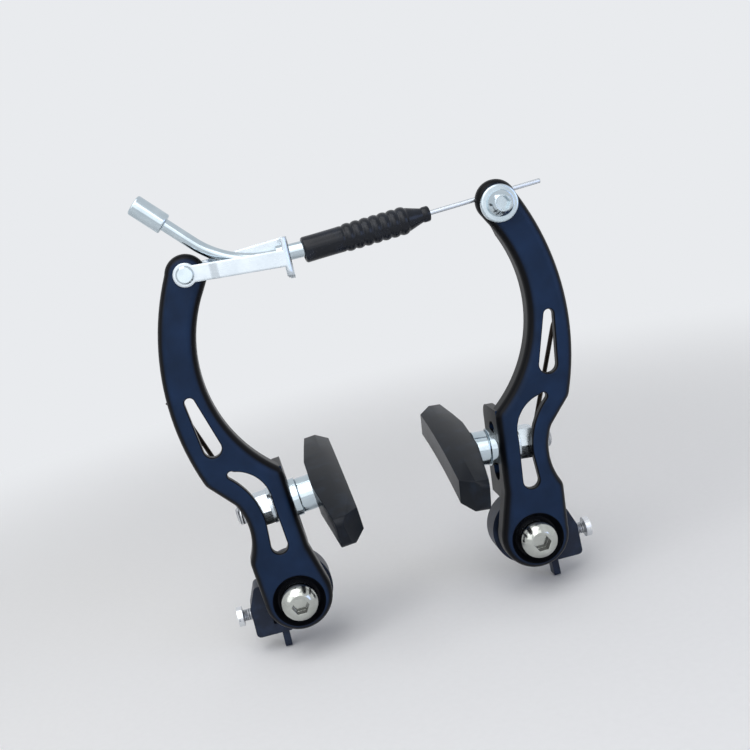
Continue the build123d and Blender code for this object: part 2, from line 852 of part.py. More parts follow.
    # Pad spacer: a thick washer, domed towards the arm
    with BuildPart() as pad_spacer:
        with BuildSketch(lathe_stud(sign)):
            with BuildLine():
                Polyline(
                    (spacer_end_x, spacer_radius - spacer_dome),
                    (spacer_end_x, washer_bore),
                    (spacer_x, washer_bore),
                    (spacer_x, spacer_radius),
                    (spacer_end_x - spacer_dome, spacer_radius),
                )
                RadiusArc(
                    (spacer_end_x - spacer_dome, spacer_radius),
                    (spacer_end_x, spacer_radius - spacer_dome),
                    spacer_dome,
                )
            make_face()
        revolve(axis=stud_axis)
    pad_spacer.part.label = f"{side}_pad_spacer"
    export_step(pad_spacer.part, f"parts/{side}_pad_spacer.step")

    # Inner cup washer: seats the spacer's dome on the flange
    with BuildPart() as inner_cup_washer:
        with BuildSketch(lathe_stud(sign)):
            with BuildLine():
                Polyline(
                    (inner_cup_x, inner_cup_radius),
                    (flange_inside_x, inner_cup_radius),
                    (flange_inside_x, washer_bore),
                    (inner_cup_x + nest, washer_bore),
                    (inner_cup_x + nest, inner_cup_radius - nest_rim),
                    (inner_cup_x, inner_cup_radius - nest_rim),
                    close=True,
                )
            make_face()
        revolve(axis=stud_axis)
    inner_cup_washer.part.label = f"{side}_inner_cup_washer"
    export_step(inner_cup_washer.part, f"parts/{side}_inner_cup_washer.step")

    # Outer cup washer: seats the ball washer on the flange
    with BuildPart() as outer_cup_washer:
        with BuildSketch(lathe_stud(sign)):
            with BuildLine():
                Polyline(
                    (outer_cup_x, outer_cup_radius),
                    (flange_outside_x, outer_cup_radius),
                    (flange_outside_x, washer_bore),
                    (outer_cup_x - nest, washer_bore),
                    (outer_cup_x - nest, outer_cup_radius - nest_rim),
                    (outer_cup_x, outer_cup_radius - nest_rim),
                    close=True,
                )
            make_face()
        revolve(axis=stud_axis)
    outer_cup_washer.part.label = f"{side}_outer_cup_washer"
    export_step(outer_cup_washer.part, f"parts/{side}_outer_cup_washer.step")

    # Ball washer: domed towards the arm
    with BuildPart() as ball_washer:
        with BuildSketch(lathe_stud(sign)):
            with BuildLine():
                Polyline(
                    (ball_x, ball_radius - ball_dome),
                    (ball_x, washer_bore),
                    (flat_washer_x, washer_bore),
                    (flat_washer_x, ball_radius),
                    (ball_x + ball_dome, ball_radius),
                )
                RadiusArc(
                    (ball_x + ball_dome, ball_radius),
                    (ball_x, ball_radius - ball_dome),
                    -ball_dome,
                )
            make_face()
        revolve(axis=stud_axis)
    ball_washer.part.label = f"{side}_ball_washer"
    export_step(ball_washer.part, f"parts/{side}_ball_washer.step")

    # Flat washer under the nut
    with BuildPart() as flat_washer_ring:
        with BuildSketch(lathe_stud(sign)):
            with BuildLine():
                Polyline(
                    (flat_washer_x, washer_bore),
                    (nut_x, washer_bore),
                    (nut_x, flat_washer_radius),
                    (flat_washer_x, flat_washer_radius),
                    close=True,
                )
            make_face()
        revolve(axis=stud_axis)
    flat_washer_ring.part.label = f"{side}_flat_washer"
    export_step(flat_washer_ring.part, f"parts/{side}_flat_washer.step")

    # Pad nut: a hexagon with its outer corners turned down
    with BuildPart() as pad_nut:
        with BuildSketch(across_stud(sign, nut_x)):
            RegularPolygon(radius=nut_across / 2, side_count=6, major_radius=False)
            Circle(stud_radius + running_gap, mode=Mode.SUBTRACT)
        extrude(amount=sign * nut_length)
        with BuildSketch(lathe_stud(sign)):
            with BuildLine():
                Polyline(
                    (nut_x, 0),
                    (nut_x, nut_across),
                    (nut_end_x - nut_chamfer, nut_across / 2 + nut_chamfer),
                    (nut_end_x, nut_across / 2),
                    (nut_end_x, 0),
                    close=True,
                )
            make_face()
        revolve(axis=stud_axis, mode=Mode.INTERSECT)
    pad_nut.part.label = f"{side}_pad_nut"
    export_step(pad_nut.part, f"parts/{side}_pad_nut.step")

# Link: one folded strip, two plates astride the left arm joined by an end wall
with BuildPart() as link:
    for start_ahead, depth, top_rise in (
        (link_wide_front + link_sheet, link_width / 2, link_half_height - link_drop),
        (noodle_ahead, link_width / 2, noodle_up + link_wall_rise - link_eye_up),
    ):
        with BuildSketch(facing(start_ahead)):
            with Locations((rivet_x, link_eye_up)):
                Circle(link_eye_radius)
            with BuildLine():
                Polyline(
                    (rivet_x, link_eye_up + link_half_height),
                    (link_end_x, link_eye_up + top_rise),
                    (link_end_x, link_eye_up - link_drop - link_half_height),
                    (rivet_x, link_eye_up - link_half_height),
                    close=True,
                )
            make_face()
            with Locations((link_end_x, noodle_up - link_tail)):
                Rectangle(link_wall_strip, link_tail + link_wall_rise, align=(Align.MAX, Align.MIN))
            with Locations((rivet_x, link_eye_up)):
                Circle(rivet_radius + running_gap, mode=Mode.SUBTRACT)
        extrude(amount=-depth)
    with BuildSketch(Plane.XY.offset(noodle_up - link_tail)) as fold:
        with BuildLine():
            Polyline(
                (link_start_x, -link_front_ahead - link_sheet),
                (link_joggle_x, -link_front_ahead - link_sheet),
                (link_joggle_x + link_joggle_run, -link_wide_front - link_sheet),
                (link_end_x, -link_wide_front - link_sheet),
                (link_end_x, -link_wide_rear + link_sheet),
                (link_joggle_x + link_joggle_run, -link_wide_rear + link_sheet),
                (link_joggle_x, -link_rear_ahead + link_sheet),
                (link_start_x, -link_rear_ahead + link_sheet),
                (link_start_x, -link_rear_ahead),
                (link_joggle_x, -link_rear_ahead),
                (link_joggle_x + link_joggle_run, -link_wide_rear),
                (link_end_x - link_sheet, -link_wide_rear),
                (link_end_x - link_sheet, -link_wide_front),
                (link_joggle_x + link_joggle_run, -link_wide_front),
                (link_joggle_x, -link_front_ahead),
                (link_start_x, -link_front_ahead),
                close=True,
            )
        make_face()
        fillet(fold.vertices().group_by(Axis.X)[-1], link_fold_round)
    extrude(amount=link_tail + link_wall_rise, mode=Mode.INTERSECT)
    with BuildSketch(Plane.YZ.offset(link_end_x)) as end_view:
        with Locations((-noodle_ahead, noodle_up - link_tail)):
            Rectangle(link_width, 2 * link_tail, align=(Align.CENTER, Align.MIN))
        fillet(end_view.vertices().group_by(Axis.Y)[0], link_tail_round)
    extrude(amount=-2 * link_reach, mode=Mode.INTERSECT)
    with BuildSketch(Plane.YZ.offset(link_end_x)):
        with Locations((-noodle_ahead, noodle_up)):
            Circle(tip_radius + link_hole_gap)
            Rectangle(link_mouth, 2 * link_tail, align=(Align.CENTER, Align.MIN))
    extrude(amount=-link_wall_strip, mode=Mode.SUBTRACT)
link.part.label = "link"
export_step(link.part, "parts/link.step")

# Link rivet: a headed pin through the left arm's eye
with BuildPart() as link_rivet:
    with BuildSketch(lathe_ahead(rivet_x, link_eye_up)):
        with BuildLine():
            Polyline(
                (0, rivet_rear_ahead - rivet_head),
                (rivet_head_radius - rivet_crown, rivet_rear_ahead - rivet_head),
                (rivet_head_radius, rivet_rear_ahead - rivet_head + rivet_crown),
                (rivet_head_radius, rivet_rear_ahead),
                (rivet_radius, rivet_rear_ahead),
                (rivet_radius, rivet_front_ahead),
                (rivet_head_radius, rivet_front_ahead),
                (rivet_head_radius, rivet_front_ahead + rivet_head - rivet_crown),
                (rivet_head_radius - rivet_crown, rivet_front_ahead + rivet_head),
                (0, rivet_front_ahead + rivet_head),
                close=True,
            )
        make_face()
    revolve(axis=Axis((rivet_x, 0, link_eye_up), (0, -1, 0)))
link_rivet.part.label = "link_rivet"
export_step(link_rivet.part, "parts/link_rivet.step")

# Noodle: a bent tube with a tip in the link's wall and a ferrule for the cable housing
noodle_end = past_bend(noodle_end_run)
end_run_dir = (-cos(radians(noodle_bend)), 0, sin(radians(noodle_bend)))
with BuildPart() as noodle:
    with BuildLine(facing(noodle_ahead)) as noodle_path:
        Line((noodle_mouth_x, noodle_up), (noodle_bend_x, noodle_up))
        ThreePointArc(on_bend(0), on_bend(noodle_bend / 2), on_bend(noodle_bend))
        Line(on_bend(noodle_bend), noodle_end)
    with BuildSketch(Plane(origin=(noodle_mouth_x, -noodle_ahead, noodle_up), z_dir=(-1, 0, 0))):
        Circle(noodle_radius)
    sweep(path=noodle_path.line)
    with BuildSketch(Plane.YZ.offset(noodle_mouth_x)):
        with Locations((-noodle_ahead, noodle_up)):
            Circle(tip_radius)
    extrude(amount=link_end_x - link_sheet - noodle_mouth_x)
    with BuildSketch(Plane.YZ.offset(link_end_x - link_sheet)):
        with Locations((-noodle_ahead, noodle_up)):
            Circle(collar_radius)
    extrude(amount=-collar_length)
    with BuildSketch(Plane(origin=(noodle_end[0], -noodle_ahead, noodle_end[1]), z_dir=end_run_dir)):
        Circle(ferrule_radius)
    extrude(amount=-ferrule_length)
    circles = noodle.edges().filter_by(GeomType.CIRCLE)
    fillet(circles.filter_by(lambda rim: rim.radius == ferrule_radius), ferrule_round)
    with BuildSketch(Plane(origin=(noodle_mouth_x, -noodle_ahead, noodle_up), z_dir=(-1, 0, 0))):
        Circle(noodle_bore)
    sweep(path=noodle_path.line, mode=Mode.SUBTRACT)
    with BuildSketch(Plane(origin=(noodle_end[0], -noodle_ahead, noodle_end[1]), z_dir=end_run_dir)):
        Circle(housing_socket_radius)
    extrude(amount=-housing_socket_depth, mode=Mode.SUBTRACT)
noodle.part.label = "noodle"
export_step(noodle.part, "parts/noodle.step")

# Noodle liner: a thin tube in the bend, up to the bottom of the ferrule's socket
liner_start = on_bend(liner_start_angle)
liner_start_dir = (-cos(radians(liner_start_angle)), 0, sin(radians(liner_start_angle)))
with BuildPart() as noodle_liner:
    with BuildLine(facing(noodle_ahead)) as liner_path:
        ThreePointArc(liner_start, on_bend((liner_start_angle + noodle_bend) / 2), on_bend(noodle_bend))
        Line(on_bend(noodle_bend), past_bend(noodle_end_run - housing_socket_depth))
    with BuildSketch(Plane(origin=(liner_start[0], -noodle_ahead, liner_start[1]), z_dir=liner_start_dir)):
        Circle(liner_radius)
        Circle(liner_bore, mode=Mode.SUBTRACT)
    sweep(path=liner_path.line)
noodle_liner.part.label = "noodle_liner"
export_step(noodle_liner.part, "parts/noodle_liner.step")

# Boot: a soft sleeve over the noodle's tip, ribbed, then tapered to the cable
ribs_start = boot_sleeve_length
ribs_end = ribs_start + boot_ribs * boot_rib_pitch
cone_end = ribs_end + boot_cone_length
boot_end = cone_end + boot_bead
with BuildPart() as boot:
    with BuildSketch(Plane(origin=on_cable(boot_start_x), x_dir=cable_line, z_dir=cable_side)):
        with BuildLine():
            Polyline(
                (boot_end, boot_bead_radius),
                (boot_end, boot_tip_bore),
                (cone_end, boot_tip_bore),
                (ribs_end, boot_bore),
                (0, boot_bore),
                (0, boot_sleeve_radius - boot_lip_round),
                (boot_lip_round, boot_sleeve_radius),
                (ribs_start, boot_sleeve_radius),
                (ribs_start, boot_groove_radius),
            )
            for rib in range(boot_ribs):
                rib_start = ribs_start + rib * boot_rib_pitch
                ThreePointArc(
                    (rib_start, boot_groove_radius),
                    (rib_start + boot_rib_pitch / 2, boot_rib_radius),
                    (rib_start + boot_rib_pitch, boot_groove_radius),
                )
            Polyline(
                (ribs_end, boot_groove_radius),
                (cone_end, boot_tip_radius),
                (cone_end, boot_bead_radius),
                (boot_end, boot_bead_radius),
            )
        make_face()
    revolve(axis=Axis(on_cable(boot_start_x), cable_line))
boot.part.label = "boot"
export_step(boot.part, "parts/boot.step")

# Cable: a straight wire from inside the noodle's mouth, past the anchor bolt, to a free tail
cable_inner_end = on_cable(noodle_mouth_x - cable_inside)
with BuildPart() as cable:
    with BuildSketch(Plane(origin=cable_inner_end, z_dir=cable_line)):
        Circle(cable_radius)
    extrude(amount=(on_cable(cable_tail_x) - cable_inner_end).length)
cable.part.label = "cable"
export_step(cable.part, "parts/cable.step")

# Anchor bolt: a domed head with a hexagon socket, through the right arm's eye
anchor_axis = Axis((anchor_x, 0, anchor_eye_up), (0, -1, 0))
with BuildPart() as anchor_bolt:
    with BuildSketch(lathe_ahead(anchor_x, anchor_eye_up)):
        with BuildLine():
            Polyline(
                (anchor_crown_radius, anchor_top_ahead),
                (0, anchor_top_ahead),
                (0, anchor_nut_ahead - anchor_tail),
                (anchor_shank_radius, anchor_nut_ahead - anchor_tail),
                (anchor_shank_radius, anchor_head_ahead),
                (anchor_head_radius, anchor_head_ahead),
                (anchor_head_radius, anchor_rim_ahead),
            )
            TangentArc(
                (anchor_head_radius, anchor_rim_ahead),
                (anchor_crown_radius, anchor_top_ahead),
                tangent=(-1, anchor_dome_slope),
            )
        make_face()
    revolve(axis=anchor_axis)
    with BuildSketch(facing(anchor_top_ahead)):
        with Locations((anchor_x, anchor_eye_up)):
            RegularPolygon(radius=anchor_socket / 2, side_count=6, major_radius=False)
    extrude(amount=-anchor_socket_depth, mode=Mode.SUBTRACT)
anchor_bolt.part.label = "anchor_bolt"
export_step(anchor_bolt.part, "parts/anchor_bolt.step")

# Anchor washer under the bolt's head
with BuildPart() as anchor_washer_ring:
    with BuildSketch(facing(front_ahead)):
        with Locations((anchor_x, anchor_eye_up)):
            Circle(anchor_washer_radius)
            Circle(anchor_shank_radius + running_gap, mode=Mode.SUBTRACT)
    extrude(amount=anchor_washer)
    front_rim = anchor_washer_ring.edges().group_by(Axis.Y)[0].sort_by(SortBy.RADIUS)[-1]
    fillet(front_rim, anchor_washer_round)
anchor_washer_ring.part.label = "anchor_washer"
export_step(anchor_washer_ring.part, "parts/anchor_washer.step")

# Cable clamp: a grooved washer that holds the cable against the back of the right arm
with BuildPart() as cable_clamp:
    with BuildSketch(facing(clamp_front_ahead)):
        with Locations((anchor_x, anchor_eye_up)):
            Circle(clamp_radius)
            Circle(anchor_shank_radius + running_gap, mode=Mode.SUBTRACT)
    extrude(amount=-clamp_thickness)
    with BuildSketch(facing(clamp_front_ahead)):
        with Locations((anchor_x, cable_anchor.Z)):
            Rectangle(2 * clamp_radius, 2 * (cable_radius + clamp_groove_gap))
    extrude(amount=clamp_groove_ahead - clamp_front_ahead, mode=Mode.SUBTRACT)
cable_clamp.part.label = "cable_clamp"
export_step(cable_clamp.part, "parts/cable_clamp.step")

# Anchor nut behind the clamp
with BuildPart() as anchor_nut_hex:
    with BuildSketch(facing(clamp_back_ahead)):
        with Locations((anchor_x, anchor_eye_up)):
            RegularPolygon(radius=anchor_nut_across / 2, side_count=6, major_radius=False)
            Circle(anchor_shank_radius + running_gap, mode=Mode.SUBTRACT)
    extrude(amount=-anchor_nut)
anchor_nut_hex.part.label = "anchor_nut"
export_step(anchor_nut_hex.part, "parts/anchor_nut.step")
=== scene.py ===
# Looks of a linear-pull brake: finishes, wire pieces, moulded pieces, studio and camera.
import json
from math import cos, pi, radians, sin, tan

import bmesh
import bpy
from mathutils import Matrix, Quaternion, Vector


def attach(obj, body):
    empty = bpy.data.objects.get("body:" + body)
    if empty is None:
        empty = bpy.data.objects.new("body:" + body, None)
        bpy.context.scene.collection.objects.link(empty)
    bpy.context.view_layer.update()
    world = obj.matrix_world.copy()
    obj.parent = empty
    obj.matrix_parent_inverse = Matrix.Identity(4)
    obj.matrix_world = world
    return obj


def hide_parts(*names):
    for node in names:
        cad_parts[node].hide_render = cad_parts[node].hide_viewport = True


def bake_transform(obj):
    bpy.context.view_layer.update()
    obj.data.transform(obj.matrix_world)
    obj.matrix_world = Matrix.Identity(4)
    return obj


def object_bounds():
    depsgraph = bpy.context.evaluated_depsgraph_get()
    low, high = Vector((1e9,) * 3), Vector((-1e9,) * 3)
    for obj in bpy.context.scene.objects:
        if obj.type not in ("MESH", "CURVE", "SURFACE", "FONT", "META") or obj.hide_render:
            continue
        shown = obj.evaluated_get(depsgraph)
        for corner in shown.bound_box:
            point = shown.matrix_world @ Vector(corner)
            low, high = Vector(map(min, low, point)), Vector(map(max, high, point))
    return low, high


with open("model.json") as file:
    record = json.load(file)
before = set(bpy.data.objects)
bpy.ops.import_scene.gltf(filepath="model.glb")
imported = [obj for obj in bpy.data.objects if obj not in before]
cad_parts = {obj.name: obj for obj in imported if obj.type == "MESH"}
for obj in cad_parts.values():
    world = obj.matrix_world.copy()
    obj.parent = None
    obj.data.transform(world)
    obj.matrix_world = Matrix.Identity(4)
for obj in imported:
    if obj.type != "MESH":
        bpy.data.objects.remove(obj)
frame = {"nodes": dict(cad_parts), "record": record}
cad_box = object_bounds()
nodes = frame["nodes"]
body_of_node = {n: body for body, names in frame["record"]["behaviour"]["bodies"].items() for n in names}
sides = {"left": -1, "right": 1}
MM = 0.001
pivot_x = 40 * MM

# Sockets of a Mix node that mixes colours, given by number because its other kinds share their names
from_colour, to_colour, mixed = 6, 7, 2
# Rays that the rounded edges of a finish are worked out from
edge_samples = 4


# Colour and node helpers
def linear(code):
    """An sRGB hex colour as linear red, green, blue and alpha."""
    channels = [int(code[i : i + 2], 16) / 255 for i in (1, 3, 5)]
    return [c / 12.92 if c <= 0.04045 else ((c + 0.055) / 1.055) ** 2.4 for c in channels] + [1.0]


def add(tree, kind, settings, links=()):
    """One shader node with its settings, by input or property name, and its links, by input."""
    made = tree.nodes.new("ShaderNode" + kind)
    for name, value in settings.items():
        if isinstance(name, int) or name in made.inputs:
            made.inputs[name].default_value = value
        else:
            setattr(made, name, value)
    for name, source in dict(links).items():
        tree.links.new(source, made.inputs[name])
    return made


def begin(name, settings):
    """A new material: its node tree, its shader with constant settings, and its coordinates."""
    material = bpy.data.materials.new(name)
    material.use_nodes = True
    tree = material.node_tree
    shader = tree.nodes["Principled BSDF"]
    for socket, value in settings.items():
        shader.inputs[socket].default_value = value
    return material, tree, shader, tree.nodes.new("ShaderNodeTexCoord").outputs


def dress(tree, shader, colour, roughness, normal):
    """Leads a finish's colour, roughness and relief to its shader."""
    for socket, source in (("Base Color", colour), ("Roughness", roughness), ("Normal", normal)):
        tree.links.new(source, shader.inputs[socket])


# Satin black lacquer, sprayed on pressed steel and baked, with a faint orange peel: nearly black on the
# rolled rims, a deep navy on the flats at the front as a painted reflection of blue sky, and black in the
# dish round each pivot as painted shade.
def make_lacquer():
    cloud_size, peel_size, peel_relief, rim_radius = 9 * MM, 0.5 * MM, 0.05 * MM, 0.25 * MM
    # Painted shade: the dish round each pivot stays black out to this radius, fading over this width
    painted_shade_radius, painted_shade_fade = 6.4 * MM, 3.0 * MM
    # Painted reflection of blue sky: faces whose normal looks this squarely ahead turn navy, in these tones
    painted_sheen_from, painted_sheen_full = -0.76, -0.9995
    navy_tones = ((0.3, "#14243B"), (0.72, "#192C48"))
    material, tree, shader, at = begin(
        "satin_black_lacquer",
        {"Coat Weight": 0.03, "Coat Roughness": 0.22, "Coat IOR": 1.5, "Specular IOR Level": 0.09},
    )
    normal = add(tree, "SeparateXYZ", {}, {"Vector": at["Normal"]})
    # Painted reflection: how squarely each face looks ahead
    painted_sheen = add(
        tree,
        "MapRange",
        {"interpolation_type": "SMOOTHSTEP", "From Min": painted_sheen_from, "From Max": painted_sheen_full},
        {"Value": normal.outputs["Y"]},
    )
    place = add(tree, "SeparateXYZ", {}, {"Vector": at["Object"]})
    off_middle = add(tree, "Math", {"operation": "ABSOLUTE"}, {0: place.outputs["X"]})
    off_pivot = add(tree, "Math", {"operation": "SUBTRACT", 1: pivot_x}, {0: off_middle.outputs["Value"]})
    round_pivot = add(tree, "CombineXYZ", {}, {"X": off_pivot.outputs["Value"], "Z": place.outputs["Z"]})
    off_axis = add(tree, "VectorMath", {"operation": "LENGTH"}, {0: round_pivot.outputs["Vector"]})
    # Painted shade: no navy inside the dish round each pivot
    past_painted_shade = add(
        tree,
        "MapRange",
        {
            "interpolation_type": "SMOOTHSTEP",
            "From Min": painted_shade_radius,
            "From Max": painted_shade_radius + painted_shade_fade,
        },
        {"Value": off_axis.outputs["Value"]},
    )
    painted_sheen_past_shade = add(
        tree,
        "Math",
        {"operation": "MULTIPLY"},
        {0: painted_sheen.outputs["Result"], 1: past_painted_shade.outputs["Result"]},
    )
    cloud = add(tree, "TexNoise", {"Scale": 1 / cloud_size, "Detail": 2.0}, {"Vector": at["Object"]})
    navy = add(tree, "ValToRGB", {}, {"Fac": cloud.outputs["Fac"]})
    for stop, (position, tone) in zip(navy.color_ramp.elements, navy_tones):
        stop.position = position
        stop.color = linear(tone)
    # The lacquer's own near black, with the painted navy reflection laid on the flats
    lacquer_and_painted_sheen = add(
        tree,
        "Mix",
        {"data_type": "RGBA", from_colour: linear("#08090D")},
        {0: painted_sheen_past_shade.outputs["Value"], to_colour: navy.outputs["Color"]},
    )
    peel = add(tree, "TexNoise", {"Scale": 1 / peel_size, "Detail": 3.0}, {"Vector": at["Object"]})
    gloss = add(tree, "MapRange", {"To Min": 0.26, "To Max": 0.4}, {"Value": cloud.outputs["Fac"]})
    rim = add(tree, "Bevel", {"samples": edge_samples, "Radius": rim_radius})
    bump = add(
        tree,
        "Bump",
        {"Strength": 0.12, "Distance": peel_relief},
        {"Height": peel.outputs["Fac"], "Normal": rim.outputs["Normal"]},
    )
    dress(tree, shader, lacquer_and_painted_sheen.outputs[mixed], gloss.outputs["Result"], bump.outputs["Normal"])
    return material


# Electroplated steel: a clean mirror that the plating softens unevenly, with edges that catch the light.
# Gloss is its least and greatest roughness. Grain is its marks' size along X and across, relief their
# depth and edge the radius that the edges seem to have, all in millimetres. Nickel is even, and zinc
# shows the draw marks of the steel below. The wall tone is painted shade, a dark colour on faces that
# stand along the bolt: the walls of the socket and the sides of the head.
def make_plating(name, pale, dark, gloss, grain, relief, edge, painted_shade_tone=None):
    cloud_size = 4 * MM
    painted_shade_from, painted_shade_full = 0.45, 0.2
    along, across = grain[0] * MM, grain[1] * MM
    material, tree, shader, at = begin(name, {"Metallic": 1.0})
    stretch = add(
        tree, "Mapping", {"Scale": (1 / along, 1 / across, 1 / across)}, {"Vector": at["Object"]}
    )
    marks = add(tree, "TexNoise", {"Scale": 1.0, "Detail": 4.0}, {"Vector": stretch.outputs["Vector"]})
    cloud = add(tree, "TexNoise", {"Scale": 1 / cloud_size, "Detail": 2.0}, {"Vector": at["Object"]})
    tone = add(
        tree,
        "Mix",
        {"data_type": "RGBA", from_colour: linear(dark), to_colour: linear(pale)},
        {0: cloud.outputs["Fac"]},
    )
    # Painted shade: faces that stand along the bolt, the socket's walls and the head's sides, darken to the
    # wall tone
    if painted_shade_tone:
        normal = add(tree, "SeparateXYZ", {}, {"Vector": at["Normal"]})
        facing = add(tree, "Math", {"operation": "ABSOLUTE"}, {0: normal.outputs["Y"]})
        in_painted_shade = add(
            tree,
            "MapRange",
            {"From Min": painted_shade_from, "From Max": painted_shade_full},
            {"Value": facing.outputs["Value"]},
        )
        tone = add(
            tree,
            "Mix",
            {"data_type": "RGBA", to_colour: linear(painted_shade_tone)},
            {0: in_painted_shade.outputs["Result"], from_colour: tone.outputs[mixed]},
        )
    sheen = add(tree, "MapRange", {"To Min": gloss[0], "To Max": gloss[1]}, {"Value": marks.outputs["Fac"]})
    rim = add(tree, "Bevel", {"samples": edge_samples, "Radius": edge * MM})
    bump = add(
        tree,
        "Bump",
        {"Strength": 0.2, "Distance": relief * MM},
        {"Height": marks.outputs["Fac"], "Normal": rim.outputs["Normal"]},
    )
    dress(tree, shader, tone.outputs[mixed], sheen.outputs["Result"], bump.outputs["Normal"])
    return material


# Zinc-plated thread, rolled: one band per turn along X, the crests bright and the roots painted grey as
# painted shade, and a plain head from its distance off the middle. Pitch and head are in millimetres.
def make_thread(name, pitch, head):
    # A wave texture of scale 1 repeats after this length
    wave_length = 0.1 * pi
    thread_relief = 0.3 * MM
    material, tree, shader, at = begin(name, {"Metallic": 1.0})
    turns = add(
        tree,
        "TexWave",
        {"bands_direction": "X", "wave_profile": "TRI", "Scale": wave_length / (pitch * MM)},
        {"Vector": at["Object"]},
    )
    place = add(tree, "SeparateXYZ", {}, {"Vector": at["Object"]})
    off_middle = add(tree, "Math", {"operation": "ABSOLUTE"}, {0: place.outputs["X"]})
    on_head = add(
        tree, "Math", {"operation": "GREATER_THAN", 1: head * MM}, {0: off_middle.outputs["Value"]}
    )
    crest = add(
        tree, "Math", {"operation": "MAXIMUM"}, {0: turns.outputs["Fac"], 1: on_head.outputs["Value"]}
    )
    # Painted shade: the roots are grey, while the crests and the head keep the bright zinc tone
    tone = add(
        tree,
        "Mix",
        {"data_type": "RGBA", from_colour: linear("#8E9298"), to_colour: linear("#DDE0E4")},
        {0: crest.outputs["Value"]},
    )
    sheen = add(tree, "MapRange", {"To Min": 0.45, "To Max": 0.2}, {"Value": crest.outputs["Value"]})
    bump = add(
        tree, "Bump", {"Strength": 0.6, "Distance": thread_relief}, {"Height": crest.outputs["Value"]}
    )
    dress(tree, shader, tone.outputs[mixed], sheen.outputs["Result"], bump.outputs["Normal"])
    return material


# Dark nylon or rubber, moulded: a body colour broken by the mould's fine grain and by a lighter bloom in
# patches. Mirror is its specular level, and grain, relief and edge are in millimetres.
def make_dark(name, body, bloom, mirror, gloss, grain, relief, edge):
    cloud_size = 5 * MM
    bloom_from, bloom_full = 0.45, 0.75
    material, tree, shader, at = begin(name, {"Specular IOR Level": mirror})
    marks = add(tree, "TexNoise", {"Scale": 1 / (grain * MM), "Detail": 3.0}, {"Vector": at["Object"]})
    cloud = add(tree, "TexNoise", {"Scale": 1 / cloud_size, "Detail": 4.0}, {"Vector": at["Object"]})
    patch = add(
        tree,
        "MapRange",
        {"interpolation_type": "SMOOTHSTEP", "From Min": bloom_from, "From Max": bloom_full},
        {"Value": cloud.outputs["Fac"]},
    )
    tone = add(
        tree,
        "Mix",
        {"data_type": "RGBA", from_colour: linear(body), to_colour: linear(bloom)},
        {0: patch.outputs["Result"]},
    )
    sheen = add(tree, "MapRange", {"To Min": gloss[0], "To Max": gloss[1]}, {"Value": marks.outputs["Fac"]})
    rim = add(tree, "Bevel", {"samples": edge_samples, "Radius": edge * MM})
    bump = add(
        tree,
        "Bump",
        {"Strength": 0.35, "Distance": relief * MM},
        {"Height": marks.outputs["Fac"], "Normal": rim.outputs["Normal"]},
    )
    dress(tree, shader, tone.outputs[mixed], sheen.outputs["Result"], bump.outputs["Normal"])
    return material


# Drawn steel wire: streaks that the die leaves along its length, read from the wire's own unrolled
# surface in metres. They are drawn coarser than real ones, so that they show.
def make_wire(name, pale, dark, gloss, metallic):
    streak_length, streak_width, streak_relief = 6 * MM, 0.15 * MM, 0.03 * MM
    material, tree, shader, at = begin(name, {"Metallic": metallic})
    stretch = add(
        tree, "Mapping", {"Scale": (1 / streak_length, 1 / streak_width, 1.0)}, {"Vector": at["UV"]}
    )
    streak = add(tree, "TexNoise", {"Scale": 1.0, "Detail": 3.0}, {"Vector": stretch.outputs["Vector"]})
    tone = add(
        tree,
        "Mix",
        {"data_type": "RGBA", from_colour: linear(dark), to_colour: linear(pale)},
        {0: streak.outputs["Fac"]},
    )
    sheen = add(tree, "MapRange", {"To Min": gloss[0], "To Max": gloss[1]}, {"Value": streak.outputs["Fac"]})
    bump = add(
        tree, "Bump", {"Strength": 0.2, "Distance": streak_relief}, {"Height": streak.outputs["Fac"]}
    )
    dress(tree, shader, tone.outputs[mixed], sheen.outputs["Result"], bump.outputs["Normal"])
    return material


lacquer = make_lacquer()
# Bright nickel on turned and pressed pieces: a cool, even mirror
nickel = make_plating(
    "bright_nickel_plate", "#CFDBE1", "#AFBDC6", gloss=(0.08, 0.2), grain=(0.6, 0.6), relief=0.01, edge=0.2
)
# Nickel on the domed bolts: warmer and more uneven, with painted shade on the walls of the socket and the
# sides of the head
bolt_nickel = make_plating(
    "nickel_on_bolt_head",
    "#D0D3CE",
    "#9A9D97",
    gloss=(0.1, 0.2),
    grain=(0.6, 0.6),
    relief=0.01,
    edge=0.2,
    painted_shade_tone="#2A2B2A",
)
# Clear zinc on washers and nuts: softer and paler than nickel
zinc = make_plating(
    "clear_zinc_plate", "#D6DFE5", "#B7C2CB", gloss=(0.22, 0.32), grain=(6, 0.4), relief=0.006, edge=0.2
)
# Clear zinc on folded sheet: the same plate, with the wide soft edges that a fold leaves
folded_zinc = make_plating(
    "zinc_on_folded_sheet", "#DCE4EA", "#BFC9D1", gloss=(0.24, 0.33), grain=(6, 0.4), relief=0.006, edge=0.9
)
stud_thread = make_thread("zinc_stud_thread", pitch=1.0, head=60)
screw_thread = make_thread("zinc_screw_thread", pitch=0.7, head=59.7)
# Nylon of the spring housings: blue-black with a soft sheen
nylon = make_dark(
    "moulded_nylon", "#161F30", "#202D44", mirror=0.25, gloss=(0.32, 0.46), grain=0.25, relief=0.02, edge=0.3
)
# Rubber of the pads: nearly black, with a coarser skin
pad_rubber = make_dark(
    "moulded_pad_rubber",
    "#0B1119",
    "#141D29",
    mirror=0.18,
    gloss=(0.28, 0.4),
    grain=0.35,
    relief=0.05,
    edge=0.3,
)
# Rubber of the boot: smooth and the glossiest of the three
boot_rubber = make_dark(
    "moulded_boot_rubber",
    "#0B1018",
    "#151C28",
    mirror=0.28,
    gloss=(0.2, 0.3),
    grain=0.3,
    relief=0.02,
    edge=0.1,
)
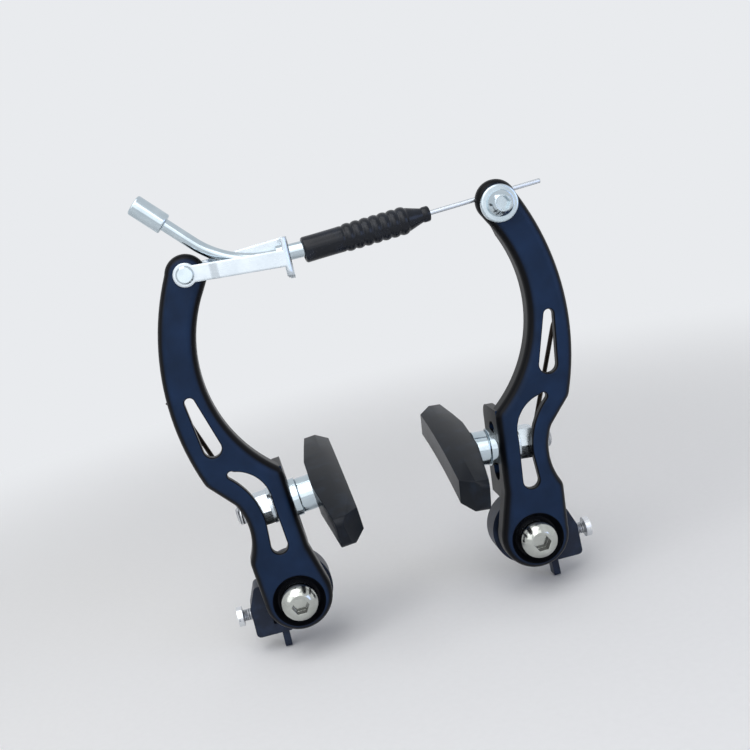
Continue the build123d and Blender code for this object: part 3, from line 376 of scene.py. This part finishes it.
# Spring wire, tempered: brown-black and half bright
spring_wire = make_wire("tempered_spring_wire", "#4A423C", "#1D1917", gloss=(0.25, 0.42), metallic=0.85)
# Cable strand, galvanised: pale and bright
cable_wire = make_wire("drawn_cable_strand", "#E0E6EC", "#B4BBC3", gloss=(0.22, 0.4), metallic=1.0)


# Mesh helpers
def put(name, mesh, body, material):
    """A new piece with a finish, hung on the empty of its body. One that blends between bodies rides on
    none.
    """
    piece = bpy.data.objects.new(name, mesh)
    bpy.context.scene.collection.objects.link(piece)
    mesh.materials.clear()
    mesh.materials.append(material)
    for face in mesh.polygons:
        face.use_smooth = True
    if body:
        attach(piece, body)
    return piece


def tube_mesh(name, path, count, section):
    """A swept tube along points, its radius given by distance and angle, unrolled in metres."""
    mesh = bpy.data.meshes.new(name)
    shape = bmesh.new()
    unrolled = shape.loops.layers.uv.new("unrolled")
    directions = []
    for i in range(len(path)):
        directions.append((path[min(i + 1, len(path) - 1)] - path[max(i - 1, 0)]).normalized())
    across = directions[0].orthogonal().normalized()
    rings = []
    stations = []
    distance = 0.0
    for i, point in enumerate(path):
        if i:
            across = directions[i - 1].rotation_difference(directions[i]) @ across
            distance += (point - path[i - 1]).length
        beside = directions[i].cross(across)
        ring = []
        for k in range(count):
            angle = 2 * pi * k / count
            reach = section(distance, angle)
            ring.append(shape.verts.new(point + reach * (cos(angle) * across + sin(angle) * beside)))
        rings.append(ring)
        stations.append(distance)
    girth = 2 * pi * section(0.0, 0.0)
    for i in range(len(rings) - 1):
        for k in range(count):
            n = (k + 1) % count
            face = shape.faces.new((rings[i][k], rings[i][n], rings[i + 1][n], rings[i + 1][k]))
            corners = ((i, k), (i, k + 1), (i + 1, k + 1), (i + 1, k))
            for loop, (station, step) in zip(face.loops, corners):
                loop[unrolled].uv = (stations[station], girth * step / count)
    shape.faces.new(list(reversed(rings[0])))
    shape.faces.new(rings[-1])
    shape.to_mesh(mesh)
    shape.free()
    return mesh


def turned_mesh(name, origin, direction, profile, count):
    """A closed profile of distance and radius turned about an axis."""
    mesh = bpy.data.meshes.new(name)
    shape = bmesh.new()
    across = direction.orthogonal().normalized()
    beside = direction.cross(across)
    rings = []
    for distance, radius in profile:
        centre = origin + direction * distance
        ring = []
        for k in range(count):
            angle = 2 * pi * k / count
            ring.append(shape.verts.new(centre + radius * (cos(angle) * across + sin(angle) * beside)))
        rings.append(ring)
    for i in range(len(rings)):
        below, above = rings[i], rings[(i + 1) % len(rings)]
        for k in range(count):
            n = (k + 1) % count
            shape.faces.new((below[k], below[n], above[n], above[k]))
    bmesh.ops.recalc_face_normals(shape, faces=shape.faces)
    shape.to_mesh(mesh)
    shape.free()
    return mesh


# Return springs: coil in the housing, a long leg that bends out to the arm and a short leg at the screw
coil_radius = 7.5 * MM
coil_front = 7.4 * MM
coil_back = 3.7 * MM
coil_turns = 2
coil_steps = 64
leg_lean = radians(5)
short_leg = 7 * MM
bend_up = 31.4 * MM
leg_hook = Vector((21.0, -11.9, 65.8)) * MM
leg_end = Vector((25.4, -11.9, 71.8)) * MM
bend_round = 4 * MM
bend_steps = 6
wire_radius = 0.75 * MM
wire_sides = 14
longest_wire_run = 2.5 * MM


def rounded_leg(points, radius):
    """Points of a bent wire: straight runs cut short at each corner, and an arc between them."""
    route = [points[0]]
    for before, corner, after in zip(points, points[1:], points[2:]):
        back = (before - corner).normalized()
        on = (after - corner).normalized()
        half = back.angle(on) / 2
        reach = radius / tan(half)
        centre = corner + (back + on).normalized() * radius / sin(half)
        first = corner + back * reach - centre
        last = corner + on * reach - centre
        turn = first.rotation_difference(last)
        for step in range(bend_steps + 1):
            route.append(centre + Quaternion().slerp(turn, step / bend_steps) @ first)
    route.append(points[-1])
    return route


def divided(points, longest):
    """The same route with no run longer than a length."""
    nearly_one = 0.999
    route = [points[0]]
    for start, end in zip(points, points[1:]):
        parts = max(1, int((end - start).length / longest + nearly_one))
        for part in range(1, parts + 1):
            route.append(start.lerp(end, part / parts))
    return route


def spring_route(sign):
    """The centre line of one spring's wire, from the short leg's end to the hook's end."""

    def place(out, ahead, up):
        return Vector((sign * (pivot_x + out), ahead, up))

    def on_coil(turned):
        angle = 2 * pi * turned - leg_lean
        ahead = coil_front + (coil_back - coil_front) * turned / coil_turns
        return place(coil_radius * cos(angle), -ahead, coil_radius * sin(angle))

    short_end = on_coil(0) - Vector((sign * sin(leg_lean), 0, cos(leg_lean))) * short_leg
    bend_out = coil_radius * cos(leg_lean) + (bend_up + coil_radius * sin(leg_lean)) * tan(leg_lean)
    coil = [on_coil(coil_turns * step / coil_steps) for step in range(coil_steps + 1)]
    leg = rounded_leg(
        [coil[-1], place(bend_out, -coil_back, bend_up), place(*leg_hook), place(*leg_end)], bend_round
    )
    return divided([short_end] + coil + leg[1:], longest_wire_run)


for side, sign in sides.items():
    wire = tube_mesh(
        f"{side}_spring_wire", spring_route(sign), wire_sides, lambda distance, angle: wire_radius
    )
    spring = put(f"{side}_spring_wire", wire, None, spring_wire)
    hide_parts(f"{side}_return_spring")
    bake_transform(spring)

# Cable line from the noodle's mouth to the anchor
cable_start = Vector((-9.0, -17.65, 108.5)) * MM
cable_anchor = Vector((49.4, -15.3, 111.25)) * MM
cable_line = (cable_anchor - cable_start).normalized()
cable_from, cable_to = -10.5 * MM, 65 * MM
cable_radius = 0.75 * MM
cable_sides = 72
longest_cable_run = 0.3 * MM
strand_lay = 9 * MM
strands = 12
strand_depth = 0.1


def on_cable(x):
    """The point of the cable's line at a place along X."""
    return cable_start + cable_line * ((x - cable_start.x) / cable_line.x)


def strand_section(distance, angle):
    """The cable's outside: twelve strands laid round it as a long helix."""
    lay = strands * (angle - 2 * pi * distance / strand_lay) / 2
    return cable_radius * (1 - strand_depth + strand_depth * abs(cos(lay)))


cable_route = divided((on_cable(cable_from), on_cable(cable_to)), longest_cable_run)
cable_mesh = tube_mesh("stranded_cable", cable_route, cable_sides, strand_section)
cable = put("stranded_cable", cable_mesh, "brake_cable", cable_wire)
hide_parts("cable")

# Boot: a soft ribbed sleeve, turned about the cable's line. Its profile is in millimetres, distance and
# radius, from its mouth over the outside to its tip, and back through the bore.
boot_start = on_cable(-12.6 * MM)
boot_sides = 72
sleeve, sleeve_radius = 13.2, 4.05
ribs, rib_pitch, rib_radius, groove_radius = 7, 2.9, 4.4, 3.75
rib_steps, rib_fullness = 12, 0.55
cone, tip_radius = 5.2, 2.25
bead, bead_radius = 2.3, 2.45
bore, tip_bore = 3.15, 1.7
ribs_end = sleeve + ribs * rib_pitch
cone_end = ribs_end + cone
tip = cone_end + bead
mouth = [
    (0.0, bore + 0.1),
    (0.0, sleeve_radius - 0.7),
    (0.12, sleeve_radius - 0.3),
    (0.45, sleeve_radius - 0.05),
    (0.9, sleeve_radius),
]
waist = [(4.0, sleeve_radius - 0.04), (9.0, sleeve_radius - 0.04)]
shoulder = [
    (sleeve - 0.9, sleeve_radius),
    (sleeve - 0.4, sleeve_radius - 0.06),
    (sleeve - 0.1, sleeve_radius - 0.2),
]
ribbing = []
for rib in range(ribs):
    for step in range(rib_steps):
        part = (step + 0.5) / rib_steps
        swell = sin(pi * part) ** rib_fullness
        ribbing.append(
            (sleeve + rib_pitch * (rib + part), groove_radius + (rib_radius - groove_radius) * swell)
        )
taper = [
    (ribs_end + 0.1, groove_radius - 0.02),
    (ribs_end + 0.6, groove_radius - 0.1),
    (ribs_end + 2.6, 3.0),
    (cone_end - 0.4, tip_radius + 0.06),
    (cone_end, tip_radius),
]
end_bead = [
    (cone_end + 0.15, bead_radius - 0.08),
    (cone_end + 0.4, bead_radius),
    (tip - 0.5, bead_radius),
    (tip - 0.15, bead_radius - 0.12),
    (tip, bead_radius - 0.4),
]
inside = [(tip, tip_bore), (cone_end, tip_bore), (ribs_end, bore)]
boot_profile = mouth + waist + shoulder + ribbing + taper + end_bead + inside
boot_mesh = turned_mesh(
    "ribbed_boot", boot_start, cable_line, [(d * MM, r * MM) for d, r in boot_profile], boot_sides
)
boot = put("ribbed_boot", boot_mesh, "noodle_holder", boot_rubber)
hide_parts("boot")

# Brake pads: copies of the solids with their edges rounded as they leave the mould
same_point = 0.001 * MM
flat_within = radians(1.5)
sharp_from = radians(30)
pad_rounding, rounding_steps = 0.5 * MM, 3
for side in sides:
    node = f"{side}_brake_pad"
    mesh = nodes[node].data.copy()
    shape = bmesh.new()
    shape.from_mesh(mesh)
    bmesh.ops.remove_doubles(shape, verts=shape.verts, dist=same_point)
    bmesh.ops.dissolve_limit(shape, angle_limit=flat_within, verts=shape.verts, edges=shape.edges)
    shape.to_mesh(mesh)
    shape.free()
    mesh.name = node + "_moulded"
    pad = put(node + "_moulded", mesh, body_of_node[node], pad_rubber)
    rounding = pad.modifiers.new("rounded_edges", "BEVEL")
    rounding.width = pad_rounding
    rounding.segments = rounding_steps
    rounding.angle_limit = sharp_from
    rounding.harden_normals = True
    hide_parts(node)

# Finishes of the solids
finishes = {
    "link": folded_zinc,
    "link_rivet": nickel,
    "noodle": nickel,
    "noodle_liner": nylon,
    "anchor_bolt": nickel,
    "anchor_washer": nickel,
    "cable_clamp": zinc,
    "anchor_nut": zinc,
    "cable": cable_wire,
    "boot": boot_rubber,
}
paired_finishes = {
    "arm": lacquer,
    "pivot_bush": zinc,
    "pivot_bolt": bolt_nickel,
    "spring_housing": nylon,
    "tension_screw": screw_thread,
    "pad_stud": stud_thread,
    "pad_spacer": nickel,
    "inner_cup_washer": nickel,
    "outer_cup_washer": zinc,
    "ball_washer": zinc,
    "flat_washer": zinc,
    "pad_nut": zinc,
    "return_spring": spring_wire,
    "brake_pad": pad_rubber,
}
for side in sides:
    finishes.update({f"{side}_{piece}": finish for piece, finish in paired_finishes.items()})
for node, finish in finishes.items():
    nodes[node].data.materials.clear()
    nodes[node].data.materials.append(finish)

# Studio: a pale floor that sweeps up behind the part
floor_gap = 0.5 * MM
floor_z = cad_box[0][2] - floor_gap
floor_half, wall_top = 2.5, 2.2
sweep_start, sweep_radius, sweep_steps = 0.6, 0.5, 16
profile = [(-floor_half, 0.0), (sweep_start, 0.0)]
for step in range(1, sweep_steps + 1):
    angle = pi / 2 * step / sweep_steps
    profile.append((sweep_start + sweep_radius * sin(angle), sweep_radius * (1 - cos(angle))))
profile.append((sweep_start + sweep_radius, wall_top))
floor_mesh = bpy.data.meshes.new("studio_floor")
corners = [(x, y, z + floor_z) for y, z in profile for x in (-floor_half, floor_half)]
quads = [(2 * i, 2 * i + 1, 2 * i + 3, 2 * i + 2) for i in range(len(profile) - 1)]
floor_mesh.from_pydata(corners, [], quads)
for face in floor_mesh.polygons:
    face.use_smooth = True
floor = bpy.data.objects.new("studio_floor", floor_mesh)
bpy.context.scene.collection.objects.link(floor)
pale_tone = linear("#E9EBEE")
shadow_reach, pale_from = 0.14, 0.5


def seen_rays(tree):
    """One for rays from the eye, directly or by mirror or glass, and zero for the light that falls."""
    ray = add(tree, "LightPath", {}).outputs
    mirrored = add(
        tree, "Math", {"operation": "MAXIMUM"}, {0: ray["Is Glossy Ray"], 1: ray["Is Transmission Ray"]}
    )
    seen = add(
        tree, "Math", {"operation": "MAXIMUM"}, {0: ray["Is Camera Ray"], 1: mirrored.outputs["Value"]}
    )
    return seen.outputs["Value"]


# Matt studio paper: pale, with a faint fibre near the part, and one even tone further off
fibre_size = 2 * MM
paper, paper_tree, paper_shader, paper_at = begin("studio_paper", {"Roughness": 0.9})
fibre = add(paper_tree, "TexNoise", {"Scale": 1 / fibre_size, "Detail": 2.0}, {"Vector": paper_at["Object"]})
paper_tone = add(
    paper_tree,
    "Mix",
    {"data_type": "RGBA", from_colour: linear("#F4F4F4"), to_colour: linear("#F8F8F8")},
    {0: fibre.outputs["Fac"]},
)
paper_tree.links.new(paper_tone.outputs[mixed], paper_shader.inputs["Base Color"])
off_part = add(paper_tree, "VectorMath", {"operation": "LENGTH"}, {0: paper_at["Object"]})
far_off = add(
    paper_tree,
    "MapRange",
    {"interpolation_type": "SMOOTHSTEP", "From Min": shadow_reach, "From Max": pale_from},
    {"Value": off_part.outputs["Value"]},
)
even = add(
    paper_tree,
    "Math",
    {"operation": "MULTIPLY"},
    {0: far_off.outputs["Result"], 1: seen_rays(paper_tree)},
)
glow = add(paper_tree, "Emission", {"Color": pale_tone, "Strength": 1.0})
surface = add(
    paper_tree,
    "MixShader",
    {},
    {0: even.outputs["Value"], 1: paper_shader.outputs["BSDF"], 2: glow.outputs["Emission"]},
)
paper_tree.links.new(surface.outputs["Shader"], paper_tree.nodes["Material Output"].inputs["Surface"])
floor_mesh.materials.append(paper)

# Soft studio light: sizes in metres, powers in watts
middle = (0, 0, 60 * MM)
floor_ahead = (-0.05, -0.6, -0.02)
white, cool = "#FFFFFF", "#A9C2FF"
falling_light, seen_light = 0.3, 1.0


def softbox(name, place, target, size, power, colour):
    """A square area lamp that faces a point."""
    lamp = bpy.data.lights.new(name, "AREA")
    lamp.shape = "SQUARE"
    lamp.size = size
    lamp.energy = power
    lamp.color = linear(colour)[:3]
    lamp_object = bpy.data.objects.new(name, lamp)
    lamp_object.location = place
    lamp_object.rotation_euler = (Vector(target) - Vector(place)).to_track_quat("-Z", "Y").to_euler()
    bpy.context.scene.collection.objects.link(lamp_object)


softbox("overhead_softbox", (-0.25, -0.35, 0.95), middle, size=0.9, power=4.6, colour=white)
softbox("right_softbox", (0.55, -0.6, 0.1), middle, size=0.5, power=1.4, colour=cool)
softbox("front_softbox", (-0.1, -1.0, 0.35), middle, size=0.9, power=1.8, colour=white)
softbox("left_softbox", (-0.8, -0.5, 0.5), middle, size=0.6, power=1.2, colour=white)
softbox("front_floor_softbox", (-0.05, -0.75, 0.55), floor_ahead, size=0.7, power=1.5, colour=white)
world = bpy.data.worlds.new("studio")
world.use_nodes = True
world_tree = world.node_tree
sky = world_tree.nodes["Background"]
sky.inputs["Color"].default_value = pale_tone
strength = add(
    world_tree, "MapRange", {"To Min": falling_light, "To Max": seen_light}, {"Value": seen_rays(world_tree)}
)
world_tree.links.new(strength.outputs["Result"], sky.inputs["Strength"])
bpy.context.scene.world = world
bpy.context.scene.view_settings.view_transform = "Standard"

# Camera at the photograph's angle, for a frame of 750 by 750
frame_size = 750
focal, centre_x, centre_y = 979.1431, 314.983, 364.847
yaw, pitch, roll = 0.0527048, 0.1545857, -0.2361478
stand = Vector((-33.267, -319.884, 120.025)) * MM
ahead = Vector((sin(yaw) * cos(pitch), cos(yaw) * cos(pitch), -sin(pitch)))
level = Vector((cos(yaw), -sin(yaw), 0))
upright = level.cross(ahead)
right = cos(roll) * level + sin(roll) * upright
up = cos(roll) * upright - sin(roll) * level
lens = bpy.data.cameras.new("camera")
lens.sensor_width = 36
lens.lens = focal / frame_size * lens.sensor_width
lens.shift_x = 0.5 - centre_x / frame_size
lens.shift_y = centre_y / frame_size - 0.5
lens.clip_start = 10 * MM
camera = bpy.data.objects.new("camera", lens)
placed = Matrix((right, up, -ahead)).transposed().to_4x4()
placed.translation = stand
camera.matrix_world = placed
bpy.context.scene.collection.objects.link(camera)
bpy.context.scene.camera = camera
